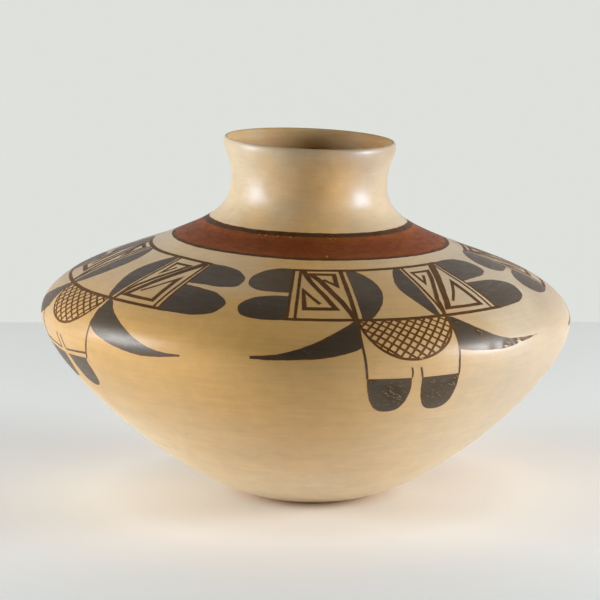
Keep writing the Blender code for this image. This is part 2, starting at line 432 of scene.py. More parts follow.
class Wall:
    """The jar's wall as a surface of turn and arc.

    Turn is the angle round the jar from the side that faces the viewer, to the right. Arc is the
    length up the outside from the belly, and is negative on the underside.
    """

    def __init__(self, size):
        self.size = size
        self.belly_height = size.belly_rise
        self.collar_height = self.belly_height + size.shoulder_rise
        self.lip_height = self.collar_height + size.collar_rise + size.throat_rise
        self.crest_height = self.lip_height + size.lip_crown
        share = np.linspace(0, 1, OUTLINE_SAMPLES)
        parts = [bezier(stretch, share) for stretch in self.stretches()]
        points = np.concatenate([parts[0]] + [part[1:] for part in parts[1:]])
        length = run_along(np.hypot(*np.diff(points, axis=0).T))
        self.arc = length - length[OUTLINE_SAMPLES - 1]
        self.radius, self.height = points.T
        heading = np.gradient(points, self.arc, axis=0)
        heading /= np.hypot(*heading.T)[:, None]
        self.out, self.up = heading[:, 1], -heading[:, 0]

    def stretches(self):
        """Return the outline's four Bezier stretches, from the foot to the lip.

        Each leaves one knot and reaches the next along the wall's heading there, and its handles
        are shares of its run or its rise.
        """
        size = self.size
        knots = np.array([
            (size.foot_radius, 0), (size.belly_radius, self.belly_height),
            (size.collar_radius, self.collar_height),
            (size.neck_radius, self.collar_height + size.collar_rise),
            (size.neck_radius + size.lip_flare, self.lip_height)])
        headings = np.array([
            (math.cos(size.foot_slope), math.sin(size.foot_slope)), (0, 1),
            (-math.cos(size.collar_slope), math.sin(size.collar_slope)), (0, 1), (0, 1)])
        reaches = (
            (size.belly_radius - size.foot_radius, size.belly_rise),
            (size.shoulder_rise, size.belly_radius - size.collar_radius),
            (size.collar_radius - size.neck_radius, size.collar_rise),
            (size.throat_rise, size.throat_rise))
        return [(start, start + leave * reach[0] * share[0], end - arrive * reach[1] * share[1], end)
                for start, end, leave, arrive, reach, share
                in zip(knots, knots[1:], headings, headings[1:], reaches, HANDLE_SHARES)]

    def radius_at(self, arc):
        """Return the wall's radius at an arc."""
        return np.interp(arc, self.arc, self.radius)

    def lean(self, turn, radius, height):
        """Return points in the jar's frame, leaned as the hand-built wall is.

        The foot is offset and level; up to the belly the lean grows on a smooth S-curve, and above
        it the mouth's own lean is added with the square of the height.
        """
        size = self.size
        settled = np.clip(height / self.belly_height, 0, 1)
        settled = settled * settled * (3 - 2 * settled)
        above = np.maximum(height - self.belly_height, 0)
        raised = above / (self.crest_height - self.belly_height)
        slope = math.tan(size.shoulder_lean) * settled + math.tan(size.mouth_lean) * raised ** 2
        drift = size.foot_offset * (1 - settled) + above * math.tan(size.shoulder_lean)
        x = radius * np.sin(turn)
        return np.stack([x + drift, -radius * np.cos(turn), height - slope * x], axis=-1)

    def ripple(self, turn, arc):
        """Return how far the scraped wall stands out: a sum of slanting sine waves.

        It is below zero by as much as the coats stand proud, so all of them stay within the
        jar's size. The waves die out towards the foot, which stays flat.
        """
        fade = np.clip((arc - self.arc[0]) / RIPPLE_FADE, 0, 1)
        waves = [reach * (np.sin(count * turn + math.tau * arc / length + phase) - 1)
                 for reach, count, length, phase in RIPPLES]
        return fade * (sum(waves) - COAT_TOP)

    def at(self, turn, arc, lift):
        """Return the points at a turn and an arc, moved out along the wall's normal by the lift."""
        lift = lift + self.ripple(turn, arc)
        radius = self.radius_at(arc) + np.interp(arc, self.arc, self.out) * lift
        height = np.interp(arc, self.arc, self.height) + np.interp(arc, self.arc, self.up) * lift
        return self.lean(turn, radius, height)

    def worn(self, turn, arc):
        """Return how far paint has worn off, a sum of soft round spots."""
        total = 0
        for middle, height, reach, amount in WORN_SPOTS:
            beside = np.remainder(turn - math.radians(middle) + math.pi, math.tau) - math.pi
            off = (beside * self.radius_at(arc)) ** 2 + (arc - height * MM) ** 2
            total = total + amount * np.exp(-off / (reach * MM) ** 2)
        return total

    def lay(self, turn, arc):
        """Return the places that surface patterns are read at.

        They lie on a plain cylinder as wide as the collar with the arc for its height, so a
        pattern runs round the jar without a seam and is as long up the wall as it is drawn.
        """
        radius = self.size.collar_radius
        turn, arc = np.broadcast_arrays(turn, arc)
        return np.stack([radius * np.sin(turn), -radius * np.cos(turn), arc], axis=-1)


def bezier(stretch, share):
    """Return the points of a cubic Bezier at shares of its way."""
    start, leave, arrive, end = stretch
    share = share[:, None]
    rest = 1 - share
    return (start * rest ** 3 + leave * 3 * rest ** 2 * share
            + arrive * 3 * rest * share ** 2 + end * share ** 3)


def run_along(steps):
    """Return how far along each point lies, from the lengths of the steps between them."""
    return np.concatenate([[0], np.cumsum(steps)])


def smooth_curve(points, count):
    """Return a smooth curve through points of (degrees, mm).

    On each span it is a cubic whose slope at a point is that of its neighbours' chord.
    """
    points = np.asarray(points, float)
    steps = np.diff(points, axis=0) * (SHOULDER_DEGREE, 1)
    chord = run_along(np.hypot(*steps.T))
    slope = np.gradient(points, chord, axis=0)
    along = np.linspace(0, chord[-1], count)
    span = np.clip(np.searchsorted(chord, along, side="right") - 1, 0, len(points) - 2)
    width = (chord[span + 1] - chord[span])[:, None]
    u = (along - chord[span])[:, None] / width
    return (points[span] * (2 * u ** 3 - 3 * u ** 2 + 1)
            + slope[span] * width * (u ** 3 - 2 * u ** 2 + u)
            + points[span + 1] * (3 * u ** 2 - 2 * u ** 3)
            + slope[span + 1] * width * (u ** 3 - u ** 2))


def grid_quads(rows, columns, wrap_rows):
    """Return the corner numbers of a grid's quads, joined round its columns and maybe its rows."""
    row = np.arange(rows if wrap_rows else rows - 1)[:, None]
    column = np.arange(columns)[None, :]
    row, column = np.broadcast_arrays(row, column)
    next_row, next_column = (row + 1) % rows, (column + 1) % columns
    corners = (row * columns + column, row * columns + next_column,
               next_row * columns + next_column, next_row * columns + column)
    return np.stack(corners, axis=-1).reshape(-1, 4)


class Coats:
    """Coats of paint that are collected and then made into one piece."""

    def __init__(self, wall, seed):
        self.wall = wall
        self.random = np.random.default_rng(seed)
        self.points, self.quads = [], []
        self.marks = {"rim": [], "lay": [], "wear": []}
        self.count = 0

    def square_to(self, edge):
        """Return the heading square to an edge, the lengths along it, and its scale in metres."""
        scale = np.stack([self.wall.radius_at(edge[:, 1]), np.ones(len(edge))], axis=-1)
        heading = np.gradient(edge, axis=0) * scale
        steps = np.hypot(*heading.T)
        heading /= np.maximum(steps, LEAST_STEP)[:, None]
        return np.stack([-heading[:, 1], heading[:, 0]], axis=-1), steps, scale

    def trembled(self, edge, reach):
        """Return an edge moved sideways as an unsteady hand moves it.

        The sideways move is a sum of sine waves, each a whole number of times along the edge.
        """
        square, steps, scale = self.square_to(edge)
        along = np.linspace(0, math.tau, len(edge))
        move = np.zeros(len(edge))
        for wave in TREMBLE_WAVES:
            count = max(round(steps.sum() / wave), 1)
            wander = np.sin(count * along + self.random.uniform(0, math.tau))
            move += reach / len(TREMBLE_WAVES) * wander
        return edge + square * move[:, None] / scale

    def spread(self, first, second, closed=False, reach=PATCH_TREMBLE):
        """Lay one coat between two edges given as points of (turn, arc).

        Rows run along the edges and columns across, spaced as a cosine and so closer at the rims.
        The coat's top stands proud of the wall and its back is sunk into it, so it is a closed
        sheet. Its points carry how far they are from the rim, their lay and how worn they are.
        """
        first, second = self.trembled(first, reach), self.trembled(second, reach)
        gap = second - first
        middle_radius = self.wall.radius_at((first[:, 1] + second[:, 1]) / 2)
        width = np.hypot(gap[:, 0] * middle_radius, gap[:, 1])
        columns = int(np.clip(width.max() / COAT_STEP, *COAT_COLUMNS)) + 1
        across = (1 - np.cos(np.pi * np.linspace(0, 1, columns))) / 2
        chart = first[:, None] + gap[:, None] * across[:, None]
        turn, arc = chart[..., 0], chart[..., 1]
        top = self.wall.at(turn, arc, COAT_LIFT + COAT_RISE * (len(self.points) % COAT_HEIGHTS))
        back = self.wall.at(turn, arc, -COAT_DEPTH)
        rim = np.minimum(across, 1 - across) * width[:, None]
        rows, around = len(top), 2 * columns
        quads = grid_quads(rows, around, closed)
        if not closed:
            run = run_along(np.linalg.norm(np.diff(top[:, columns // 2], axis=0), axis=1))
            rim = np.minimum(rim, np.minimum(run, run[-1] - run)[:, None])
            near = np.arange(columns - 1)
            cap = np.stack([near, near + 1, around - 2 - near, around - 1 - near], axis=-1)
            quads = np.concatenate([quads, cap[:, ::-1], cap + (rows - 1) * around])
        row, column = rows // 2, columns // 2
        along = top[row][column] - top[row - 1][column]
        sideways = top[row][column] - top[row][column - 1]
        if np.dot(np.cross(sideways, along), top[row][column] - back[row][column]) < 0:
            quads = quads[:, ::-1]
        self.points.append(np.concatenate([top, back[:, ::-1]], axis=1).reshape(-1, 3))
        self.quads.append(quads + self.count)
        self.count += rows * around
        marks = {"rim": rim, "lay": self.wall.lay(turn, arc), "wear": self.wall.worn(turn, arc)}
        for key, values in marks.items():
            both = np.concatenate([values, values[:, ::-1]], axis=1)
            self.marks[key].append(both.reshape(-1, *values.shape[2:]))

    def fill(self, first, second, place):
        """Fill a shape between two smooth edges, placed on the jar by the figure."""
        count = edge_count(first, second)
        self.spread(*(place(smooth_curve(edge, count)) for edge in (first, second)))

    def fill_round(self, outline, place):
        """Fill a shape with a round end, its outline given from one root corner to the other.

        The outline is one smooth curve, and its two halves are the coat's edges.
        """
        half = edge_count(outline) // 2
        curve = place(smooth_curve(outline, 2 * half + 1))
        self.spread(curve[:half + 1], curve[half:][::-1])

    def line(self, points, width, place):
        """Draw a smooth brush line of a width in mm, its ends drawn in over half that width.

        Its edges lie half the width to each side, and round off as a circle does.
        """
        middle = place(smooth_curve(points, edge_count(points)))
        width = width * MM
        square, steps, scale = self.square_to(middle)
        run = run_along((steps[1:] + steps[:-1]) / 2)
        from_end = np.minimum(run, run[-1] - run) / (width / 2)
        half = width / 2 * np.sqrt(np.clip(1 - (1 - np.clip(from_end, 0, 1)) ** 2, BLUNT_END, 1))
        sideways = square * half[:, None] / scale
        self.spread(middle + sideways, middle - sideways, reach=LINE_TREMBLE)

    def fret(self, corners, widths, place):
        """Draw a brush line with mitred corners, each run with its own width in mm."""
        chart = place(np.asarray(corners, float))
        edges = [mitred_edge(chart, side * np.asarray(widths) * MM / 2, self.wall) for side in (1, -1)]
        self.spread(*edges, reach=FRET_TREMBLE)

    def make(self, name, material, slot):
        """Make the coats one piece of the jar and return it."""
        marks = {key: np.concatenate(values) for key, values in self.marks.items()}
        return make_piece(name, np.concatenate(self.points), np.concatenate(self.quads), material,
                          slot, marks)


def edge_count(*edges):
    """Return how many points a shape's edges need, from the longest of them."""
    steps = [np.diff(np.asarray(edge, float), axis=0) * (PATCH_DEGREE, 1) for edge in edges]
    longest = max(np.hypot(*step.T).sum() for step in steps)
    return int(longest * MM / COAT_STEP) + SPARE_POINTS


def mitred_edge(corners, offsets, wall):
    """Return one edge of a line with corners: at each corner, where its two offset runs cross.

    The crossing lies on both offset runs, so its share along each run's normal is that run's
    offset. Very sharp corners are cut short. Points then follow at even steps along each run.
    """
    scale = np.stack([wall.radius_at(corners[:, 1]), np.ones(len(corners))], axis=-1)
    edge = []
    last = len(corners) - 1
    for index in range(last + 1):
        runs = [max(index - 1, 0), min(index, last - 1)]
        headings = [(corners[run + 1] - corners[run]) * scale[index] for run in runs]
        normals = np.array([(-y, x) / np.hypot(x, y) for x, y in headings])
        sizes = offsets[runs]
        if abs(np.linalg.det(normals)) < LEVEL_RUNS:
            move = normals.mean(axis=0) * sizes.mean()
        else:
            move = np.linalg.solve(normals, sizes)
        move *= min(1, LONGEST_MITRE * abs(sizes).max() / np.hypot(*move))
        edge.append(corners[index] + move / scale[index])
    steps = np.diff(corners, axis=0) * scale[:-1]
    counts = np.ceil(np.hypot(*steps.T) / COAT_STEP).astype(int) + 1
    points = [np.linspace(start, end, count, endpoint=False)
              for start, end, count in zip(edge, edge[1:], counts)]
    return np.concatenate(points + [edge[-1:]])


def placer(figure, on_wings=False):
    """Return a function that puts a figure's points of (degrees, mm) on the jar as (turn, arc).

    Points on the wings are also shifted, stretched and let droop as this figure's wings are. The
    shift comes in over the first degrees, and the droop grows with the square of them.
    """
    level = (0, 1, 1, 0)
    left, right = (figure.left_wing, figure.right_wing) if on_wings else (level, level)

    def place(points):
        turn, arc = np.asarray(points, float).T
        shift, ramp, stretch, droop = np.where(turn < 0, np.array([left]).T, np.array([right]).T)
        turned = figure.middle + (shift * np.clip(turn / ramp, -1, 1) + stretch * turn)
        drooped = arc - droop * (turn / DROOP_TURN) ** 2
        return np.stack([np.radians(turned), drooped * MM], axis=-1)
    return place


def hex_linear(text):
    """Return an sRGB hex colour as linear RGBA."""
    channels = [int(text[start:start + 2], 16) / 255 for start in (1, 3, 5)]
    linear = [c / 12.92 if c <= 0.04045 else ((c + 0.055) / 1.055) ** 2.4 for c in channels]
    return (*linear, 1.0)


def add(tree, kind, *feeds, **settings):
    """Add a node with its settings, feed its inputs and return its outputs.

    The feeds go to the inputs in order, or are one dict of inputs by name or number. Each is a
    value, or the output that is linked there. For a map range they are a value, the range that it
    comes from and the range that it goes to.
    """
    node = tree.nodes.new("ShaderNode" + kind)
    for name, value in settings.items():
        setattr(node, name, value)
    named = feeds[0] if feeds and isinstance(feeds[0], dict) else dict(enumerate(feeds))
    for name, value in named.items():
        if isinstance(value, bpy.types.NodeSocket):
            tree.links.new(value, node.inputs[name])
        else:
            node.inputs[name].default_value = value
    return node.outputs


def empty_tree(block):
    """Give a material or a world nodes, and return its empty node tree."""
    block.use_nodes = True
    block.node_tree.nodes.clear()
    return block.node_tree


def new_material(name):
    """Return a new material and its empty node tree."""
    material = bpy.data.materials.new(name)
    return material, empty_tree(material)


def make_piece(name, points, faces, material, slot, attributes, more_faces=()):
    """Make a piece from arrays of points and faces, with its attributes and its material."""
    mesh = bpy.data.meshes.new(name)
    mesh.from_pydata(points.tolist(), [], faces.tolist() + list(more_faces))
    for key, values in attributes.items():
        kind, field = ("FLOAT_VECTOR", "vector") if values.ndim == 2 else ("FLOAT", "value")
        attribute = mesh.attributes.new(key, kind, "POINT")
        attribute.data.foreach_set(field, values.astype(np.float32).ravel())
    mesh.materials.append(material)
    mesh.shade_smooth()
    mesh.set_sharp_from_angle(angle=SHARP_ANGLE)
    piece = bpy.data.objects.new(name, mesh)
    bpy.context.scene.collection.objects.link(piece)
    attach(piece, BODY)
    return piece


def soft_ball(tree, place, centre, inner, outer):
    """Return a value that is 1 within the inner radius of a centre and 0 beyond the outer one."""
    reach = add(tree, "VectorMath", place, centre, operation="DISTANCE")["Value"]
    return add(tree, "MapRange", reach, outer, inner, interpolation_type="SMOOTHSTEP")[0]


def streaks(tree, lay, size, detail, roughness, distortion=0):
    """Return noise drawn out into streaks of a real length round the jar and a real width."""
    length, width = size
    scale = (1 / length, 1 / length, 1 / width)
    drawn_out = add(tree, "Mapping", {"Vector": lay, "Scale": scale})[0]
    return add(tree, "TexNoise", {
        "Vector": drawn_out, "Scale": 1, "Detail": detail, "Roughness": roughness,
        "Distortion": distortion})["Fac"]


def polish_streaks(tree, lay):
    """Return the streaks that the polishing stone left: fine ones and broad ones."""
    return [streaks(tree, lay, size, 2, 0.55, 0.6) for size in (FINE_POLISH, BROAD_POLISH)]


def polish_relief(tree, broad, fine):
    """Return the normal that carries the polishing stone's low relief."""
    relief = add(tree, "Bump", {"Height": broad, "Strength": 0.5, "Distance": 0.10 * MM})[0]
    return add(tree, "Bump", {
        "Height": fine, "Strength": 0.5, "Distance": 0.03 * MM, "Normal": relief})[0]


def clay_material(finish):
    """Burnished earthenware: fine clay polished with a stone, so it has a soft, streaked gloss.

    The fire leaves it buff, golden, blushed or cream in soft clouds; a pale patch round the foot is
    painted light that lifts the shade there. The polishing stone leaves low streaks round the jar, a
    few mm wide, in the gloss, the relief and the tone.
    """
    material, tree = new_material("burnished_clay")
    lay = add(tree, "Attribute", attribute_name="lay")["Vector"]
    inside = add(tree, "Attribute", attribute_name="inside")["Fac"]
    place = add(tree, "TexCoord")["Object"]

    # Fire clouds, and a patch of painted light round the foot: soft balls of colour, their edges blown
    # about by some 20 mm
    drift = add(tree, "TexNoise", {
        "Vector": place, "Scale": 1 / CLOUD_DRIFT, "Detail": 2, "Roughness": 0.5})["Color"]
    drift = add(tree, "VectorMath", drift, (0.5, 0.5, 0.5), operation="SUBTRACT")[0]
    blown = add(tree, "VectorMath", drift, (CLOUD_BLOW,) * 3, place, operation="MULTIPLY_ADD")[0]
    body = hex_linear(finish.buff)
    for centre, inner_radius, outer_radius, colour, strength in FIRE_CLOUDS_AND_PAINTED_LIGHT:
        cloud = soft_ball(tree, blown, centre, inner_radius, outer_radius)
        cloud = add(tree, "Math", cloud, strength, operation="MULTIPLY")[0]
        body = add(tree, "Mix", {0: cloud, 6: body, 7: hex_linear(getattr(finish, colour))},
                   data_type="RGBA")[2]

    # Tone: darker and lighter with the stone's streaks and with a fine mottle
    fine, broad = polish_streaks(tree, lay)
    streak = add(tree, "Math", fine, broad, operation="ADD")[0]
    mottle = add(tree, "TexNoise", {
        "Vector": place, "Scale": 1 / MOTTLE, "Detail": 4, "Roughness": 0.65})["Fac"]
    streak_tone = add(tree, "MapRange", streak, 0.6, 1.4, 0.93, 1.06)[0]
    mottle_tone = add(tree, "MapRange", mottle, 0.3, 0.7, 0.955, 1.04)[0]
    tone = add(tree, "Math", streak_tone, mottle_tone, operation="MULTIPLY")[0]
    toned = add(tree, "VectorMath", {0: body, 3: tone}, operation="SCALE")[0]

    # Rust specks: grains of iron in the clay, one in each of the few cells that have any
    cells = add(tree, "TexVoronoi", {"Vector": place, "Scale": 1 / SPECK_SPACING})
    grain = add(tree, "Math", cells["Distance"], SPECK_RADIUS / SPECK_SPACING, operation="LESS_THAN")[0]
    pick = add(tree, "SeparateColor", cells["Color"])[0]
    rare = add(tree, "Math", pick, SPECKLESS, operation="GREATER_THAN")[0]
    speck = add(tree, "Math", grain, rare, operation="MULTIPLY")[0]
    speck = add(tree, "Math", speck, SPECK_STRENGTH, operation="MULTIPLY")[0]
    speckled = add(tree, "Mix", {0: speck, 6: toned, 7: hex_linear(finish.rust)}, data_type="RGBA")[2]

    # Inside, the clay isn't polished, and the fire leaves it a browner orange
    inner_cloud = streaks(tree, lay, INNER_CLOUD, 3, 0.6)
    inner_warm = add(tree, "MapRange", inner_cloud, 0.4, 0.7)[0]
    inner = add(tree, "Mix", {
        0: inner_warm, 6: hex_linear(finish.inner), 7: hex_linear(finish.inner_blush)},
        data_type="RGBA")[2]
    colour = add(tree, "Mix", {0: inside, 6: speckled, 7: inner}, data_type="RGBA")[2]

    gloss = add(tree, "MapRange", streak, 0.6, 1.4, 0.33, 0.42)[0]
    gloss = add(tree, "Mix", {0: inside, 2: gloss, 3: 0.62}, data_type="FLOAT")[0]
    shader = add(tree, "BsdfPrincipled", {
        "Base Color": colour, "Roughness": gloss, "IOR": 1.5, "Specular IOR Level": 0.58,
        "Specular Tint": hex_linear(finish.polish_shine), "Normal": polish_relief(tree, broad, fine)})
    add(tree, "OutputMaterial", shader[0])
    return material


def paint_material(name, full, thin, ground, thin_reach, shine, polish=0.0):
    """Mineral paint, brushed on and polished with the clay: a broad sheen under a closer gloss.

    It is brown where it is thin, along the rims of a stroke, and streaked where the brush ran
    dry. Where it has worn off in fine streaks, the ground shows and the gloss is duller.
    """
    material, tree = new_material(name)
    lay = add(tree, "Attribute", attribute_name="lay")["Vector"]
    rim, wear = (add(tree, "Attribute", attribute_name=mark)["Fac"] for mark in ("rim", "wear"))

    # Load: little paint along the rims of a stroke and where the brush ran dry
    brush = streaks(tree, lay, DRY_BRUSH, 3, 0.6, 0.8)
    load = add(tree, "MapRange", rim, 0, thin_reach, 0.1, interpolation_type="SMOOTHSTEP")[0]
    brush_load = add(tree, "MapRange", brush, 0.3, 0.7, -0.35, 0.25)[0]
    load = add(tree, "Math", load, brush_load, operation="ADD", use_clamp=True)[0]
    colour = add(tree, "Mix", {0: load, 6: hex_linear(thin), 7: hex_linear(full)}, data_type="RGBA")[2]

    # Brush marks: broad streaks of more and less paint
    marks = streaks(tree, lay, BRUSH_MARKS, 4, 0.6, 1.2)
    depth = add(tree, "MapRange", marks, 0.3, 0.7, 0.82, 1.18)[0]
    colour = add(tree, "VectorMath", {0: colour, 3: depth}, operation="SCALE")[0]

    # Worn streaks: slanting scratches where the wear attribute is high
    slanted = add(tree, "Mapping", {
        "Vector": lay, "Rotation": (0, SCRATCH_SLANT, 0), "Scale": SCRATCH_SIZE},
        vector_type="TEXTURE")[0]
    chips = add(tree, "TexNoise", {
        "Vector": slanted, "Scale": 1, "Detail": 3, "Roughness": 0.65, "Distortion": 0.4})["Fac"]
    worn = add(tree, "Math", wear, chips, operation="ADD")[0]
    worn = add(tree, "MapRange", worn, 0.66, 0.84, 0, 0.7)[0]
    colour = add(tree, "Mix", {0: worn, 6: colour, 7: hex_linear(ground)}, data_type="RGBA")[2]

    # Gloss: duller where the paint has worn
    gloss = add(tree, "MapRange", marks, 0.3, 0.7, 0.56, 0.42)[0]
    gloss = add(tree, "Math", wear, 0.5, gloss, operation="MULTIPLY_ADD")[0]
    kept = add(tree, "MapRange", wear, 0, 0.08, 1.0, 0.25)[0]
    sheen, polished = (add(tree, "Math", kept, amount, operation="MULTIPLY")[0]
                       for amount in (shine, polish))
    broad = polish_streaks(tree, lay)[1]
    shader = add(tree, "BsdfPrincipled", {
        "Base Color": colour, "Roughness": gloss, "IOR": 1.5, "Specular IOR Level": sheen,
        "Coat Weight": polished, "Coat Roughness": 0.36, "Normal": polish_relief(tree, broad, brush)})
    add(tree, "OutputMaterial", shader[0])
    return material


def black_paint(finish):
    """Return the black figure paint, made once and shared by the figures."""
    return bpy.data.materials.get("black_mineral_paint") or paint_material(
        "black_mineral_paint", finish.black, finish.brown, finish.cream,
        thin_reach=1.3 * MM, shine=0.5, polish=0.45)


def line_paint(finish):
    """Return the paint of the narrow lines, where it lies thinner and browner."""
    return bpy.data.materials.get("brown_line_paint") or paint_material(
        "brown_line_paint", finish.line_brown, finish.thin_line, finish.cream,
        thin_reach=0.7 * MM, shine=0.3)


def wall_rows(wall):
    """Return the wall's whole outline as rows of six values.

    They are the radius, the height, the arc, whether the row is inside, and how much the ripple
    moves it out and up. The rows run from the foot's centre out to its edge, up the outside, over
    the lip as half an ellipse, down the inside, which is the outside moved in by the clay's
    thickness, and across the floor.
    """
    size = wall.size
    ends = wall.arc[::OUTLINE_SAMPLES - 1]
    arcs = np.concatenate([np.linspace(start, end, count, endpoint=False)
                           for start, end, count in zip(ends, ends[1:], STRETCH_STEPS)] + [ends[-1:]])
    radius, height, out, up = (np.interp(arcs, wall.arc, values)
                               for values in (wall.radius, wall.height, wall.out, wall.up))
    thickness = np.interp(
        height, [0, wall.belly_height, wall.collar_height, wall.lip_height],
        [size.floor_thickness, size.wall_thickness, size.wall_thickness, size.lip_thickness])
    inner_radius, inner_height = radius - out * thickness, height - up * thickness
    foot = np.linspace(0, size.foot_radius, DISC_STEPS, endpoint=False)
    angle = np.linspace(0, np.pi, LIP_STEPS + 1)[1:-1]
    lip_middle = (radius[-1] + inner_radius[-1]) / 2
    lip_half = (radius[-1] - inner_radius[-1]) / 2
    lip_base = np.linspace(height[-1], inner_height[-1], LIP_STEPS + 1)[1:-1]
    floor = np.linspace(inner_radius[0], 0, DISC_STEPS + 1)[1:]
    floor_height = np.linspace(inner_height[0], size.floor_thickness, DISC_STEPS + 1)[1:]
    parts = (
        (foot, foot * 0, arcs[0] + foot - size.foot_radius, foot * 0, foot * 0, foot * 0),
        (radius, height, arcs, arcs * 0, out, up),
        (lip_middle + lip_half * np.cos(angle), lip_base + size.lip_crown * np.sin(angle),
         arcs[-1] + lip_half * (1 - np.cos(angle)), (angle > np.pi / 2) * 1.0, np.cos(angle), angle * 0),
        (inner_radius[::-1], inner_height[::-1], arcs[-1] + (arcs[-1] - arcs[::-1]), arcs * 0 + 1,
         arcs * 0, arcs * 0),
        (floor, floor_height, 2 * arcs[-1] - arcs[0] + floor, floor * 0 + 1, floor * 0, floor * 0),
    )
    return [np.concatenate(values) for values in zip(*parts)]


class JAR_OT_wall(bpy.types.Operator):
    """Make the jar's clay wall: its outline turned round the jar and leaned"""

    bl_idname = "jar.wall"
    bl_label = "Clay wall"

    def execute(self, context):
        wall = Wall(context.scene.jar_size)
        radius, height, arc, inside, out, up = (row[:, None] for row in wall_rows(wall))
        turn = np.linspace(0, math.tau, ROUND_STEPS, endpoint=False)[None, :]
        ripple = wall.ripple(turn, np.minimum(arc, wall.arc[-1]))
        points = wall.lean(turn, radius + out * ripple, height + up * ripple)
        shown_inside = np.broadcast_to(inside, points.shape[:2])
        rings = len(points) - 2
        # Each array holds the rings' values first, and then those of the foot's and floor's poles
        points, lay, shown_inside = (
            np.concatenate([values[1:-1].reshape(-1, *values.shape[2:]), values[[0, -1], 0]])
            for values in (points, wall.lay(turn, arc), shown_inside))
        last_ring = (rings - 1) * ROUND_STEPS
        foot_pole, floor_pole = len(points) - 2, len(points) - 1
        pairs = [(here, (here + 1) % ROUND_STEPS) for here in range(ROUND_STEPS)]
        fans = [(foot_pole, ahead, here) for here, ahead in pairs]
        fans += [(floor_pole, last_ring + here, last_ring + ahead) for here, ahead in pairs]
        piece = make_piece("clay_wall", points, grid_quads(rings, ROUND_STEPS, False),
                           clay_material(context.scene.jar_finish), "fired_clay",
                           {"lay": lay, "inside": shown_inside}, fans)
        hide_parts("vessel")
        return {"FINISHED"}


class JAR_OT_collar_band(bpy.types.Operator):
    """Lay the red slip band round the collar and the black ring on each of its edges"""

    bl_idname = "jar.collar_band"
    bl_label = "Collar band"

    def execute(self, context):
        wall = Wall(context.scene.jar_size)
        finish = context.scene.jar_finish
        turn = np.linspace(0, math.tau, RING_STEPS, endpoint=False)
        # Red slip: liquid clay rich in iron, brushed on, so it has a low sheen and is mottled, and
        # brighter towards its thin edges. The rings over it are the figures' mineral paint.
        red = paint_material("red_slip", finish.dark_red, finish.red, finish.cream,
                             thin_reach=7 * MM, shine=0.22)
        black = paint_material("black_ring_paint", finish.ring_black, finish.ring_brown, finish.red,
                               thin_reach=1.6 * MM, shine=0.35)
        for seed, name, material, slot, edges in (
                (3, "red_band", red, "red_slip", RED_BAND),
                (4, "upper_black_ring", black, "black_paint", UPPER_RING),
                (5, "lower_black_ring", black, "black_paint", LOWER_RING)):
            coats = Coats(wall, seed)
            drift = RING_DRIFT * (np.sin(2 * turn + seed) + QUICK_DRIFT * np.sin(5 * turn + 2 * seed))
            low, high = (np.stack([turn, (arc - tilt * np.sin(turn) + drift) * MM], axis=-1)
                         for arc, tilt in edges)
            coats.spread(low, high, closed=True, reach=RING_TREMBLE)
            coats.make(name, material, slot)
        return {"FINISHED"}


def painted(context, part, paint, seed):
    """Yield each figure with its coats, and make them one piece once the painter has laid them."""
    wall = Wall(context.scene.jar_size)
    for index, figure in enumerate(FIGURES):
        coats = Coats(wall, seed + index)
        yield figure, coats
        coats.make(f"{figure.name}_{part}", paint(context.scene.jar_finish), "black_paint")


class JAR_OT_lobes(bpy.types.Operator):
    """Paint each figure's four wing lobes"""

    bl_idname = "jar.lobes"
    bl_label = "Wing lobes"

    def execute(self, context):
        for figure, coats in painted(context, "wing_lobes", black_paint, seed=20):
            for lobe in LOBES:
                coats.fill_round(lobe, placer(figure, on_wings=True))
        return {"FINISHED"}


class JAR_OT_leaves(bpy.types.Operator):
    """Paint the two leaves beside each figure's open middle"""

    bl_idname = "jar.leaves"
    bl_label = "Leaves"

    def execute(self, context):
        for figure, coats in painted(context, "leaves", black_paint, seed=40):
            for leaf in (LEFT_LEAF, RIGHT_LEAF):
                coats.fill(*leaf, placer(figure, on_wings=True))
        return {"FINISHED"}


class JAR_OT_frets(bpy.types.Operator):
    """Draw the lines that frame the panels and their hooked frets"""

    bl_idname = "jar.frets"
    bl_label = "Frets"

    def execute(self, context):
        for figure, coats in painted(context, "frets", line_paint, seed=60):
            place = placer(figure, on_wings=True)
            for top, foot, width in PANEL_LINES:
                coats.fret(((top, BAND_TOP), (foot, BAND_FOOT)), (width,), place)
            for corners, widths in FRETS:
                coats.fret(corners, widths, place)
            for points in BAND_LINES:
                coats.line(points, BAND_WIDTH, place)
        return {"FINISHED"}


class JAR_OT_half_moons(bpy.types.Operator):
    """Draw each figure's cross-hatched half moon"""

    bl_idname = "jar.half_moons"
    bl_label = "Half moons"

    def execute(self, context):
        for figure, coats in painted(context, "half_moon", line_paint, seed=80):
            middle, half_width, depth, _ = figure.moon
            place = placer(figure)
            angle = np.linspace(0, np.pi, MOON_POINTS)
            rim = np.stack([middle - half_width * np.cos(angle), BAND_FOOT - depth * np.sin(angle)], -1)
            coats.line(rim, MOON_RIM_WIDTH, place)
            for ends in hatch_lines(*figure.moon):
                coats.line(ends, HATCH_WIDTH, place)
        return {"FINISHED"}


